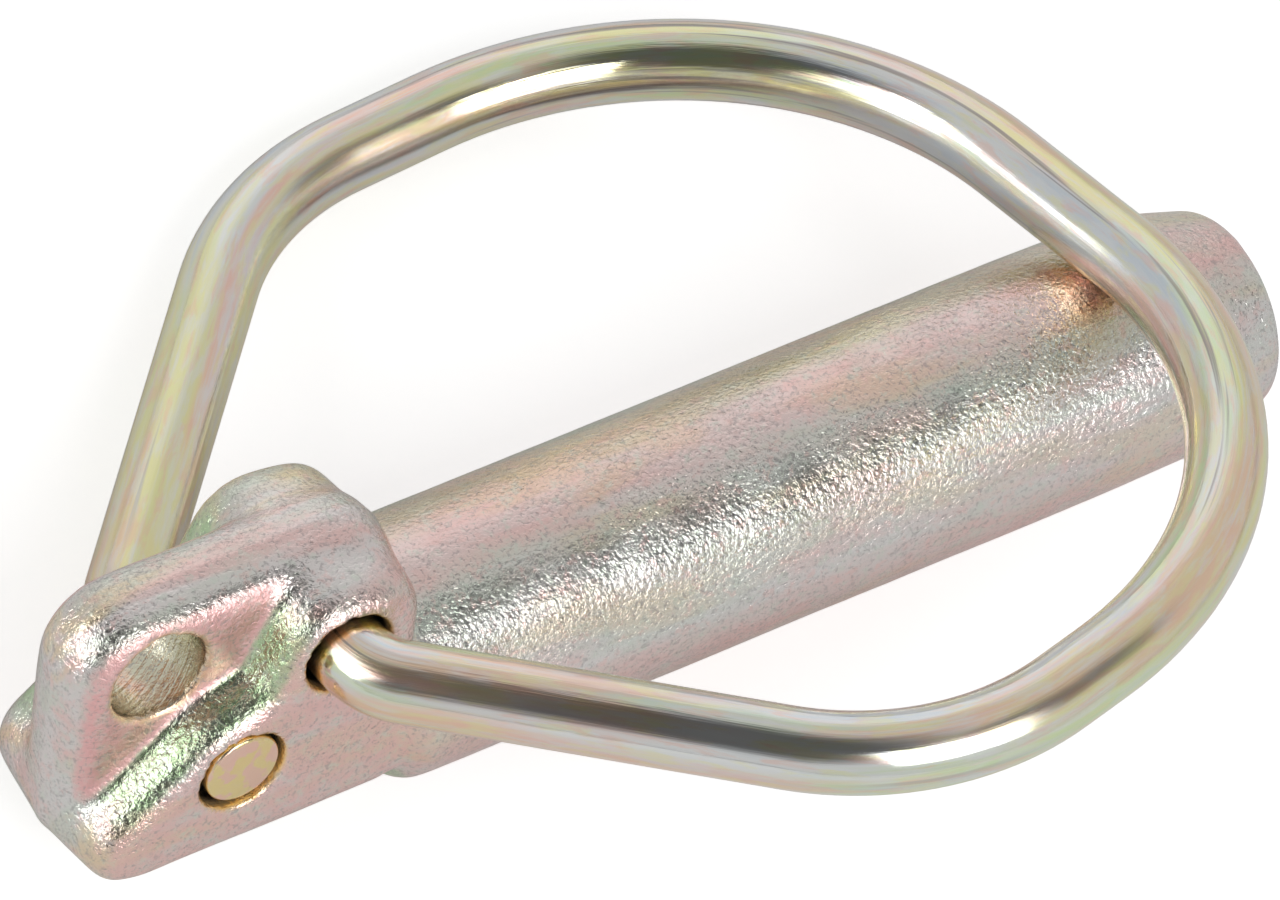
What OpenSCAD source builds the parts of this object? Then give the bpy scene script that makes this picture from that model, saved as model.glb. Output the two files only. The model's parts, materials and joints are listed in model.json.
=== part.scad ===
// Over-centre lynch pin: a drop-forged pin whose flat head carries a D-shaped ring of spring wire.
// The ring's two ends turn inwards and enter the head from opposite sides, in two offset holes.
// Units are millimetres. X runs along the pin, from its shoulder (the origin) to its tip.
// The part lies as it comes to rest: on the shank, rolled over until the ring's far side touches down.

/* [Pin] */
// Diameter of the shank
pin_d = 10; // [6:0.1:16]
// Length of the shank, from the shoulder under the head to the tip
pin_l = 40; // [34:0.5:80]
// How much slimmer than the shank the lead end is, where the nose's taper begins
lead_cut = 0.2; // [0:0.05:0.6]
// How much slimmer than the lead end the nose is, where it runs into the rounded end
nose_cut = 1.6; // [0.6:0.1:2.4]
// Length of the nose, from the start of its taper to the tip
nose_l = 3.5; // [2:0.1:8]
// Radius of the rounding around the tip
tip_round = 1.1; // [0.3:0.1:2]

/* [Head] */
// Length of the head behind the shoulder
head_l = 14.5; // [14:0.1:24]
// Height of the head's top above the pin's axis
head_top = 9.3; // [9:0.1:14]
// Depth of the head's underside below the pin's axis
head_drop = 2.9; // [2.4:0.1:4.8]
// Thickness of the lug around the chain hole
lug_t = 4; // [3:0.1:7]
// Thickness of the head across its two cheeks
cheek_t = 8.4; // [6.5:0.1:9.5]
// Radius of the lug's upper rear corner
lug_corner = 3; // [1.5:0.1:4]
// Radius of the head's rounded edges
edge_r = 1; // [0.3:0.1:1.2]
// Draft of the forged walls to either side of the parting line, in degrees
draft = 6; // [0:0.5:8]

/* [Holes] */
// How much wider than the wire the two cross holes for its ends are
hole_clearance = 0.5; // [0.3:0.05:0.8]
// Diameter of the chain hole in the lug
chain_hole_d = 4.1; // [3:0.1:4.6]
// Distance of the front wire hole behind the shoulder
front_hole_back = 3.8; // [3.2:0.1:4.4]
// Depth of the front wire hole below the head's top
front_hole_down = 3.2; // [3.1:0.1:4.3]
// Offset of the rear wire hole from the front one, both backwards and downwards
hole_step = 4.35; // [4:0.05:5]
// Distance of the chain hole from the head's rear end
chain_hole_in = 3.6; // [3.4:0.1:4]
// Depth of the chain hole below the head's top
chain_hole_down = 3; // [2.8:0.1:3.3]

/* [Ring] */
// Diameter of the spring wire
wire_d = 3.2; // [2.5:0.05:3.3]
// Distance along the pin from the middle of the wire holes to the middle of the two bends
leg_run = 15.5; // [12:0.1:24]
// Distance of the bends to either side of the pin's axis
bend_half = 20.7; // [17:0.1:32]
// Radius of the two bends between the legs and the bow, at the wire's centre
bend_r = 11.4; // [6:0.2:12]
// Distance of the bow's corners to either side of its middle
bow_half = 18.5; // [16:0.1:32]
// Radius of the bow's two corners, at the wire's centre
bow_r = 16.8; // [10:0.2:17.4]
// Sideways shift of the D-shaped ring towards the front leg's side
ring_shift = 0.2; // [0:0.1:1]
// Turn of the D-shaped ring in plan, away from the front leg's side, in degrees
bow_turn = 6.8; // [0:0.2:8]
// Distance from the tip of the pin back to where the bow crosses the shank
cross_back = 6.7; // [6.5:0.1:10]
// Radius of the turns from the legs into the head, at the wire's centre
turn_r = 3.2; // [2.6:0.1:4]
// Distance of the front leg's turn out from the cheek
front_stand = 1.1; // [0.8:0.1:3]
// Distance of the rear leg's turn out from the cheek
rear_stand = 0.6; // [0.5:0.1:3]
// Slope of the bow, rising towards the tip, in degrees
bow_pitch = 3.8; // [0:0.1:6]
// Lean of the bow, falling from the front leg's side to the rear leg's side, in degrees
bow_lean = 6.2; // [2:0.1:10]
// Gap between the bow and the top of the shank
bow_gap = 0.1; // [0.05:0.01:0.3]
// Gap left between the wire and the side of its hole that the spring holds it towards
rub_gap = 0.1; // [0.06:0.01:0.15]

/* [Hidden] */
zinc = [0.72, 0.66, 0.62];
wire_zinc = [0.74, 0.70, 0.58];

pin_r = pin_d / 2;
lead_r = pin_r - lead_cut / 2;
nose_r = lead_r - nose_cut / 2;
wire_r = wire_d / 2;
wire_hole_d = wire_d + hole_clearance;
round_steps = 5; // straight steps in a quarter of a rounded edge
hull_fn = 32;
bore_over = 1; // a cutter's reach past the face it goes through

// Wire holes and chain hole, as [x, z] on the head's side.
front_hole = [-front_hole_back, head_top - front_hole_down];
rear_hole = front_hole - [hole_step, hole_step];
chain_hole = [chain_hole_in - head_l, head_top - chain_hole_down];

// The bow crosses the shank here, and the shank is a true cylinder up to just short of the wire.
cross_x = pin_l - cross_back;
seat_end_gap = 0.65; // left between the end of the true cylinder and the wire
seat_l = cross_x - wire_r - seat_end_gap;

function rotated_arc(c, r, from, to, n) =
    [for (i = [0:n]) c + r * [cos(from + (to - from) * i / n), sin(from + (to - from) * i / n)]];

// ---- Forged pin ----

// A disc of radius r about the Y axis, drafted to both sides of the parting plane at y = 0, with
// rounded rims. The rounding leaves a small flat on each face of the disc.
least_flat = 0.05;
module boss(r, half, edge) {
    rim = min(edge, (r - least_flat - half * tan(draft)) / (1 - tan(draft)));
    rim_r = r - (half - rim) * tan(draft);
    rotate([90, 0, 0])
        rotate_extrude($fn = hull_fn)
            polygon(concat(
                [[0, -half]],
                rotated_arc([rim_r - rim, -half + rim], rim, -90, -draft, round_steps),
                [[r, 0]],
                rotated_arc([rim_r - rim, half - rim], rim, draft, 90, round_steps),
                [[0, half]]));
}

// A plate across Y with rounded edges, wrapped around corners given as [x, z, r].
module plate(corners, thickness, rim) {
    hull()
        for (c = corners)
            translate([c[0], 0, c[1]])
                boss(c[2], thickness / 2, rim);
}

// Corners of the head's outlines at the parting plane. The front ones end at the shoulder, x = 0.
wire_wall = 1.2; // wall left around a wire hole
front_boss = [front_hole[0], front_hole[1], wire_hole_d / 2 + wire_wall];
rear_boss = [rear_hole[0], rear_hole[1], wire_hole_d / 2 + wire_wall];
waist_r = 1.9; // half the neck between the two bosses
waist = [(front_hole[0] + rear_hole[0]) / 2, (front_hole[1] + rear_hole[1]) / 2, waist_r];
brow_r = 2.4;
brow = [-brow_r, head_top - brow_r, brow_r];
cheek_drop = 0.35; // the cheeks' tops lie this much below the lug's
cheek_brow = [-brow_r, head_top - cheek_drop - brow_r, brow_r];
foot_r = 1.6;
foot = [-foot_r, -head_drop + foot_r, foot_r];
heel_r = 2.2;
heel = [-head_l + heel_r, -head_drop + heel_r, heel_r];
tail_r = 1.5;
tail_top = 0.3; // height of the cheeks' rear end above the pin's axis
tail = [-head_l + tail_r, tail_top - tail_r, tail_r];
lug_top = [-head_l + lug_corner, head_top - lug_corner, lug_corner];

soft_edge = 1.2 * edge_r; // the lug and the front of the cheeks are rounder than their rear
module lug() {
    plate([brow, lug_top, heel, foot], lug_t, soft_edge);
}

module cheeks() {
    plate([front_boss, cheek_brow, foot, waist], cheek_t, soft_edge);
    plate([waist, rear_boss, tail, heel, foot], cheek_t, edge_r);
}

// The shank, with a root in the head, a short flare, a slim lead, a tapered nose and a rounded tip.
root_l = 0.9; // the root's length inside the head
flare_l = 0.9; // the flare's length, from the root to the shoulder
flare_end_l = 0.3; // the flare's last, steeper part
flare_end_cut = 0.15;
root_cut = 0.9; // the root's radius is this much under the shank's
root_cover = 0.1; // the cheeks cover the root by at least this much
root_r = min(pin_r - root_cut, cheek_t / 2 - root_cover);
nose_slope = atan2(lead_r - nose_r, nose_l - tip_round);
module shank() {
    rotate([90, 0, 90])
        rotate_extrude($fn = 96)
            polygon(concat(
                [[0, -flare_l - root_l], [root_r, -flare_l - root_l], [root_r, -flare_l]],
                [[pin_r - flare_end_cut, -flare_end_l], [pin_r, 0]],
                [[pin_r, seat_l], [lead_r, pin_l - nose_l]],
                rotated_arc([nose_r - tip_round * cos(nose_slope), pin_l - tip_round],
                    tip_round, nose_slope, 90, round_steps),
                [[0, pin_l]]));
}

module cross_hole(at, d) {
    translate([at[0], 0, at[1]])
        rotate([90, 0, 0])
            cylinder(d = d, h = cheek_t + 2 * bore_over, center = true, $fn = 48);
}

module forged_pin() {
    color(zinc)
        as_it_rests()
            difference() {
                union() {
                    lug();
                    cheeks();
                    shank();
                }
                cross_hole(front_hole, wire_hole_d);
                cross_hole(rear_hole, wire_hole_d);
                cross_hole(chain_hole, chain_hole_d);
            }
}

// ---- Spring ring ----

// Height of the bow's plane at a point of the plan view.
bow_ride = (pin_r + wire_r + bow_gap) / cos(bow_lean);
function on_bow(x, y) =
    [x, y, bow_ride + tan(bow_pitch) * (x - cross_x) - tan(bow_lean) * y];

// The ends lie just under the head's faces. The spring holds one low and forward, the other high.
end_set = 0.05;
end_y = cheek_t / 2 - end_set;
end_play = hole_clearance / 2 - rub_gap;
front_end = [front_hole[0] + end_play * cos(45), front_hole[1] - end_play * sin(45)];
rear_end = [rear_hole[0], rear_hole[1] + end_play];

// Corners of the D, turned about the middle of its bends: x along the D's middle line, y across.
bend_mid = (front_hole[0] + rear_hole[0]) / 2 + leg_run;
bow_depth = (cross_x - bend_mid) * cos(bow_turn) + ring_shift * sin(bow_turn);
function on_ring(x, y) =
    on_bow(bend_mid + x * cos(bow_turn) - y * sin(bow_turn), x * sin(bow_turn) + y * cos(bow_turn) - ring_shift);

// The wire's centre line: straight runs that meet at these points, each rounded to its radius.
front_turn = cheek_t / 2 + front_stand;
rear_turn = cheek_t / 2 + rear_stand;
route = [
    [front_end[0], end_y, front_end[1]],
    [front_end[0], -front_turn, front_end[1]],
    on_ring(0, -bend_half),
    on_ring(bow_depth, -bow_half),
    on_ring(bow_depth, bow_half),
    on_ring(0, bend_half),
    [rear_end[0], rear_turn, rear_end[1]],
    [rear_end[0], -end_y, rear_end[1]]];
radii = [0, turn_r, bend_r, bow_r, bow_r, bend_r, turn_r, 0];
last = len(route) - 1;

function unit(v) = v / norm(v);
function turn_angle(i) =
    acos(unit(route[i] - route[i - 1]) * unit(route[i + 1] - route[i]));
// Distance from a corner of the route back to where its arc begins.
function set_back(i) = (i == 0 || i == last) ? 0 : radii[i] * tan(turn_angle(i) / 2);
function arc_start(i) = route[i] - set_back(i) * unit(route[i] - route[max(i - 1, 0)]);
function arc_end(i) = route[i] + set_back(i) * unit(route[min(i + 1, last)] - route[i]);
function arc_centre(i) =
    route[i] + radii[i] / cos(turn_angle(i) / 2)
        * unit(unit(route[i + 1] - route[i]) - unit(route[i] - route[i - 1]));

// Lays children from the local frame (x, y, z axes given as unit vectors) at a point.
module framed(x, y, z, at) {
    multmatrix([
        [x[0], y[0], z[0], at[0]],
        [x[1], y[1], z[1], at[1]],
        [x[2], y[2], z[2], at[2]],
        [0, 0, 0, 1]])
        children();
}

// A straight run is a hair slimmer than the bends, so that it ends just inside them.
slimmer = 0.004;
run_in = 0.1;
module straight_run(from, to, into_from, into_to) {
    z = unit(to - from);
    x = unit(cross(z, abs(z[2]) < 0.9 ? [0, 0, 1] : [1, 0, 0]));
    framed(x, cross(z, x), z, from - into_from * z)
        cylinder(r = wire_r - slimmer, h = norm(to - from) + into_from + into_to, $fn = 48);
}

module bent_run(i) {
    x = unit(arc_start(i) - arc_centre(i));
    y = unit(route[i] - route[i - 1]);
    framed(x, y, cross(x, y), arc_centre(i))
        rotate_extrude(angle = turn_angle(i), $fn = 96)
            translate([radii[i], 0])
                circle(d = wire_d, $fn = 48);
}

module spring_ring() {
    color(wire_zinc)
        as_it_rests() {
            for (i = [1:last])
                straight_run(arc_end(i - 1), arc_start(i), i == 1 ? 0 : run_in, i == last ? 0 : run_in);
            for (i = [1:last - 1])
                bent_run(i);
        }
}

// ---- Rest ----

// The roll about X that brings a point of the wire's centre line down to the floor under the shank.
function roll_to_floor(p) =
    atan2(p[2], p[1]) + asin((pin_r - wire_r) / norm([p[1], p[2]]));
function arc_point(i, turned) =
    arc_centre(i) + radii[i] * (
        cos(turned) * unit(arc_start(i) - arc_centre(i)) + sin(turned) * unit(route[i] - route[i - 1]));
roll_steps = 12; // places tried along each of the two corners that can touch down
rest_roll = min([
    for (corner = [4, 5], step = [0:roll_steps])
        roll_to_floor(arc_point(corner, turn_angle(corner) * step / roll_steps))]);
echo(rest_roll = rest_roll);

module as_it_rests() {
    rotate([-rest_roll, 0, 0])
        children();
}

forged_pin();
spring_ring();
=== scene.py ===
"""Over-centre lynch pin: the forged pin, its sprung wire ring and a small studio.

Every length is in metres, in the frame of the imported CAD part: X runs along the pin from its
shoulder to its tip, and Z is up with the part lying as it comes to rest.
"""

import json
import math

import bpy
import numpy as np
from mathutils import Matrix, Vector


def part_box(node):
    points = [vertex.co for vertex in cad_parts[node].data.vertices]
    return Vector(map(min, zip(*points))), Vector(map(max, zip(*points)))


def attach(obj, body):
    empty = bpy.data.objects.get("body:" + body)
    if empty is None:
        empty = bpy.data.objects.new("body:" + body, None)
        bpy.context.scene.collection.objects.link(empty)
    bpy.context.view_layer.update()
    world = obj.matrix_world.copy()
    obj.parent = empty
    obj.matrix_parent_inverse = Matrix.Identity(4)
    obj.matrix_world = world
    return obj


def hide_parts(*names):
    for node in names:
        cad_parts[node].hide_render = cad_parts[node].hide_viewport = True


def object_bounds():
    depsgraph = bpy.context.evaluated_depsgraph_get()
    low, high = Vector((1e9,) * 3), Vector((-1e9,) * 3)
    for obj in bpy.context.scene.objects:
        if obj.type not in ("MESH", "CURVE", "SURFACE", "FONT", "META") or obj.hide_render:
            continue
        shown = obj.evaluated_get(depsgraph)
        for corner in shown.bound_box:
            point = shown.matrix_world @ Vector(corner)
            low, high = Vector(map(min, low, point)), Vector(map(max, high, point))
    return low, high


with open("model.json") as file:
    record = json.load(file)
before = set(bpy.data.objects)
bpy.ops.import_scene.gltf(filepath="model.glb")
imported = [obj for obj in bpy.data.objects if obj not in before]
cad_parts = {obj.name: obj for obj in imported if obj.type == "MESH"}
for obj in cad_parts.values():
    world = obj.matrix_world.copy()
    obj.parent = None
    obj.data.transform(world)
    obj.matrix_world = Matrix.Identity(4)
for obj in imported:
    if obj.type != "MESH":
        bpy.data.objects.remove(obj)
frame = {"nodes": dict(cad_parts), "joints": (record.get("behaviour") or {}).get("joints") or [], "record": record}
cad_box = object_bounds()

bl_info = {
    "name": "Lynch Pin",
    "version": (1, 0, 0),
    "blender": (4, 5, 0),
    "location": "View3D > Sidebar > Lynch Pin",
    "description": "Builds an over-centre lynch pin with its sprung wire ring, and a studio around it",
    "category": "Object",
}

MM = 0.001
COLUMN_WIDTH = 190  # distance between two nodes in the node editor
DRILL_SKEW = 0.5  # lean of the drill marks in the chain hole, as a slope
STREAK = 0.07  # how much the wire's streaks are squeezed along it
DRAWING_STREAK = 0.02  # the same for the finer drawing lines
SPECK_RIPPLE = 0.3 * MM  # how far the outline of a speck wanders
BULGE_PASSES = 6  # passes that spread the reading of a bulge over its surroundings
SENSOR_WIDTH = 36.0  # the lens is given for a sensor of this width
STRAY_MIDDLE = 0.01 * MM  # how far the wire may stray from its route while it is drawn out
STRAY_BOX = 0.1 * MM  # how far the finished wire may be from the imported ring's box


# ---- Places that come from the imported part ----

def hinge_of_the_ring():
    """The ring's joint: its point, its axis and the roll of the part about X, in radians."""
    joint = next(j for j in frame["joints"] if j["name"] == "ring_hinge")
    axis = Vector(joint["axis"]).normalized()
    return Vector(joint["pos_m"]), axis, math.atan2(abs(axis.z), abs(axis.y))


hinge_point, hinge_axis, part_roll = hinge_of_the_ring()
# The pin's own frame: X along the pin, Y across the head, away from the front leg, Z up through the head.
from_pin_frame = Matrix.Rotation(-part_roll, 3, "X")


def chain_hole_place():
    """The chain hole's point on its axis, in metres, and its radius."""
    mount = next(m for m in frame["record"]["mounts"] if m["name"] == "chain_hole")
    return Vector(mount["pos_m"]), mount["dims"]["r_mm"] * MM


# ---- Sizes and colours ----

def length(name, description, default, low=0.0, high=0.1):
    return bpy.props.FloatProperty(
        name=name, description=description, default=default, min=low, max=high,
        subtype="DISTANCE", unit="LENGTH", precision=5)


def angle(name, description, degrees):
    return bpy.props.FloatProperty(
        name=name, description=description, default=math.radians(degrees), subtype="ANGLE", unit="ROTATION")


def share(name, description, default, high=1.0):
    return bpy.props.FloatProperty(
        name=name, description=description, default=default, min=0.0, max=high, subtype="FACTOR")


def amount(name, description, default):
    return bpy.props.FloatProperty(name=name, description=description, default=default, min=0.0)


def count(name, description, default, low=1):
    return bpy.props.IntProperty(name=name, description=description, default=default, min=low)


def colour(name, description, default):
    return bpy.props.FloatVectorProperty(
        name=name, description=description, default=default, size=3, min=0.0, max=1.0, subtype="COLOR")


class LynchPinForging(bpy.types.PropertyGroup):
    """Sizes and finish of the forged pin"""

    skin: length("Skin", "Spacing of the mesh that the forged skin is made of", 0.18 * MM)
    blend_passes: count("Blend passes", "Smoothing passes that blend the head's walls into each other", 42)
    hole_guard: length("Hole guard", "Distance around the holes where the walls are blended less", 0.9 * MM)
    shank_passes: count("Shank passes", "Smoothing passes over the shank", 3)
    unevenness: length("Unevenness", "How far the forged skin wanders in and out", 0.05 * MM)
    swell: length("Swell", "Size of the forged skin's swells", 3.5 * MM)
    flash_height: length(
        "Flash height", "Height of the trimmed flash along the parting line of the head", 0.05 * MM)
    flash_width: length("Flash width", "Half the width of the trimmed flash", 0.3 * MM)
    hole_spacing: length("Hole spacing", "Distance between the axes of the two wire holes", 6.152 * MM)
    hole_radius: length("Wire hole radius", "Radius of the two wire holes", 1.85 * MM)
    rim_tint: length("Rim tint", "Width of the amber tint around the holes", 0.16 * MM)
    rim_depth: length("Rim depth", "How far the amber tint reaches into the wire holes", 1 * MM)
    cheek_half: length("Cheek half", "Half the thickness of the head across its cheeks", 4.2 * MM)
    lug_half: length("Lug half", "Half the thickness of the lug", 2 * MM)
    silver: colour("Silver", "Zinc where the passivation is thin", (0.81, 0.79, 0.77))
    pink: colour("Pink", "Passivation that shows pink", (0.92, 0.60, 0.56))
    rose: colour("Rose", "Passivation in the shelter of the lug's web", (0.92, 0.54, 0.53))
    green: colour("Green", "Passivation that shows green", (0.52, 0.68, 0.42))
    pale_green: colour("Pale green", "Passivation that shows pale green", (0.70, 0.77, 0.67))
    yellow: colour("Yellow", "Passivation that shows straw yellow", (0.88, 0.72, 0.45))
    amber: colour("Amber", "Thick passivation in the hole rims", (1.0, 0.62, 0.20))
    # Painted shade: this colour darkens the dips of the grain, where shade falls.
    shade: colour("Shade", "Zinc down in the dips of the grain", (0.38, 0.36, 0.36))
    roughness: share("Roughness", "Roughness of the zinc on the forging", 0.15)
    grain: length("Grain", "Size of the shot-blasted grain", 0.22 * MM)
    grain_depth: length("Grain depth", "Depth of the shot-blasted grain", 0.06 * MM)


class LynchPinRing(bpy.types.PropertyGroup):
    """Sizes and finish of the sprung wire ring, the same as in the part's source"""

    wire: length("Wire", "Diameter of the spring wire", 3.2 * MM)
    shank_radius: length("Shank radius", "Radius of the shank that the bow rides on", 5 * MM)
    crossing: length("Crossing", "Distance from the shoulder to where the bow crosses the shank", 33.3 * MM)
    end_reach: length("End reach", "Distance of each end face from the pin's axis", 4.15 * MM)
    front_end_x: length("Front end x", "Place of the front end along the pin", -3.693934 * MM, -0.1)
    front_end_up: length("Front end height", "Height of the front end above the pin's axis", 5.993934 * MM)
    rear_end_x: length("Rear end x", "Place of the rear end along the pin", -8.15 * MM, -0.1)
    rear_end_up: length("Rear end height", "Height of the rear end above the pin's axis", 1.9 * MM)
    leg_run: length("Leg run", "From the middle of the wire holes to the middle of the bends", 15.5 * MM)
    bend_half: length("Bend spread", "Distance of the bends to either side of the pin's axis", 20.7 * MM)
    bend_radius: length("Bend radius", "Radius of the bends between the legs and the bow", 11.4 * MM)
    bow_half: length("Bow spread", "Distance of the bow's corners to either side of its middle", 18.5 * MM)
    bow_radius: length("Bow radius", "Radius of the bow's corners", 16.8 * MM)
    turn_radius: length("Turn radius", "Radius of the turns from the legs into the head", 3.2 * MM)
    front_turn: length(
        "Front turn", "Sideways distance of the front leg's turn from the pin's axis", 5.3 * MM)
    rear_turn: length("Rear turn", "Sideways distance of the rear leg's turn from the pin's axis", 4.8 * MM)
    ring_shift: length("Ring shift", "Sideways shift of the ring towards the front leg's side", 0.2 * MM)
    bow_gap: length("Bow gap", "Gap between the bow and the top of the shank", 0.1 * MM)
    bow_turn: angle("Bow turn", "Turn of the ring in plan", 6.8)
    bow_pitch: angle("Bow pitch", "Slope of the bow, rising towards the tip", 3.8)
    bow_lean: angle("Bow lean", "Lean of the bow, falling from the front leg's side", 6.2)
    sides: count("Sides", "Faces around the wire", 48, 8)
    step: angle("Bend step", "Turn between two rings of the mesh in a bend", 2.5)
    pitch: length("Run step", "Distance between two rings of the mesh in a straight run", 1 * MM)
    end_bevel: length("End bevel", "Width of the bevel around each cut end", 0.16 * MM)
    silver: colour("Silver", "Zinc where the passivation is thin", (0.82, 0.83, 0.82))
    yellow: colour("Yellow", "Passivation that shows yellow", (0.87, 0.84, 0.44))
    green: colour("Green", "Passivation that shows pale green", (0.70, 0.84, 0.50))
    pink: colour("Pink", "Passivation that shows pink", (0.93, 0.60, 0.50))
    blue: colour("Blue", "Passivation that shows blue grey", (0.66, 0.73, 0.80))
    amber: colour("Amber", "Thick passivation on the cut ends", (0.90, 0.72, 0.34))
    shade: colour("Shade", "Dark drawing lines along the wire", (0.30, 0.27, 0.27))
    roughness: share("Roughness", "Roughness of the drawn wire", 0.13)
    draw_depth: length("Draw depth", "Depth of the drawing lines along the wire", 0.015 * MM)


class LynchPinStudio(bpy.types.PropertyGroup):
    """Camera, lights and floor"""

    view_azimuth: angle("View azimuth", "Camera's direction in plan; 0 looks along +Y", -56.42)
    view_elevation: angle("View elevation", "Camera's height above the horizon", 58.83)
    view_roll: angle("View roll", "Turn of the camera about its line of sight", 30.107)
    view_distance: length(
        "View distance", "Camera's distance from the point it looks at", 685.57 * MM, 0.0, 10.0)
    aim_x: length("Aim x", "Point that the camera looks at, along the pin", 13.6815 * MM)
    aim_y: length("Aim y", "Point that the camera looks at, across the pin", 2.9126 * MM)
    aim_z: length("Aim z", "Point that the camera looks at, above the pin's axis", 1.7983 * MM)
    lens: bpy.props.FloatProperty(
        name="Lens", description="Focal length on a 36 mm sensor", default=503.92, min=1.0,
        subtype="DISTANCE_CAMERA")
    tent: colour("Tent", "Colour of the light tent's cloth", (0.60, 0.60, 0.60))
    gap: colour("Gap", "Colour of the unlit side of the tent", (0.10, 0.10, 0.10))
    gap_azimuth: angle("Gap azimuth", "Direction of the unlit side", -84)
    gap_elevation: angle("Gap elevation", "Height of the unlit side", 57)
    gap_inner: angle("Gap inner", "Half the angle of the wholly unlit patch", 20)
    gap_outer: angle("Gap outer", "Half the angle over which the tent takes over", 48)
    slit: colour("Slit", "Colour of the unlit slit beside the key softbox", (0.16, 0.16, 0.16))
    slit_azimuth: angle("Slit azimuth", "Direction of the unlit slit", 52)
    slit_elevation: angle("Slit elevation", "Height of the unlit slit", 57)
    slit_inner: angle("Slit inner", "Half the angle of the wholly unlit patch", 8)
    slit_outer: angle("Slit outer", "Half the angle over which the tent takes over", 27)
    glow: colour("Glow", "Colour of the brighter stretch of cloth low at the back", (0.84, 0.84, 0.84))
    glow_azimuth: angle("Glow azimuth", "Direction of the brighter stretch", 154)
    glow_elevation: angle("Glow elevation", "Height of the brighter stretch", 10)
    glow_inner: angle("Glow inner", "Half the angle of the wholly bright patch", 12)
    glow_outer: angle("Glow outer", "Half the angle over which the tent takes over", 34)
    key_azimuth: angle("Key azimuth", "Direction of the key softbox", 2)
    key_elevation: angle("Key elevation", "Height of the key softbox", 47)
    key_size: length("Key size", "Side of the key softbox", 0.36, 0.0, 2.0)
    key_radiance: amount("Key radiance", "Brightness of the key softbox", 2.6)
    rim_azimuth: angle("Rim azimuth", "Direction of the rim softbox", -108)
    rim_elevation: angle("Rim elevation", "Height of the rim softbox", 21)
    rim_size: length("Rim size", "Side of the rim softbox", 0.32, 0.0, 2.0)
    rim_radiance: amount("Rim radiance", "Brightness of the rim softbox", 2.4)
    light_distance: length("Light distance", "Distance of the softboxes from the part", 0.50, 0.0, 5.0)
    floor: colour("Floor", "Colour of the floor", (0.80, 0.80, 0.80))
    floor_lift: share(
        "Floor lift", "How far the floor is lifted towards white where it is seen directly", 0.55)
    floor_size: length("Floor size", "Side of the floor", 12.0, 0.0, 100.0)


# ---- Tools shared by the pieces ----

def clear_selection():
    if bpy.context.object is not None and bpy.context.object.mode != "OBJECT":
        bpy.ops.object.mode_set(mode="OBJECT")
    bpy.ops.object.select_all(action="DESELECT")
    bpy.context.view_layer.objects.active = None


def make_active(obj):
    clear_selection()
    obj.select_set(True)
    bpy.context.view_layer.objects.active = obj


def apply_modifier(obj, kind, name, **settings):
    modifier = obj.modifiers.new(name, kind)
    for key, value in settings.items():
        setattr(modifier, key, value)
    make_active(obj)
    bpy.ops.object.modifier_apply(modifier=name)


def points_of(obj):
    points = np.empty(len(obj.data.vertices) * 3)
    obj.data.vertices.foreach_get("co", points)
    return points.reshape(-1, 3)


def normals_of(obj):
    normals = np.empty(len(obj.data.vertices) * 3, np.float32)
    obj.data.vertex_normals.foreach_get("vector", normals)
    return normals.reshape(-1, 3).astype(float)


def move_points(obj, points):
    obj.data.vertices.foreach_set("co", np.asarray(points, np.float32).ravel())
    obj.data.update()


def write_mask(obj, name, values):
    mask = obj.data.attributes.new(name, "FLOAT", "POINT")
    mask.data.foreach_set("value", np.asarray(values, np.float32))


def in_pin_frame(points):
    """Row-frame points or directions, turned into the pin's own frame."""
    return points @ np.array(from_pin_frame)


def smoothstep(low, high, values):
    share_of_way = np.clip((values - low) / (high - low), 0, 1)
    return share_of_way * share_of_way * (3 - 2 * share_of_way)


def towards(azimuth, elevation):
    """The direction of a place in the studio; azimuth 0 is the -Y side, where a camera looks along +Y."""
    return Vector((
        math.sin(azimuth) * math.cos(elevation),
        -math.cos(azimuth) * math.cos(elevation),
        math.sin(elevation)))


# ---- Node tools ----

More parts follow.
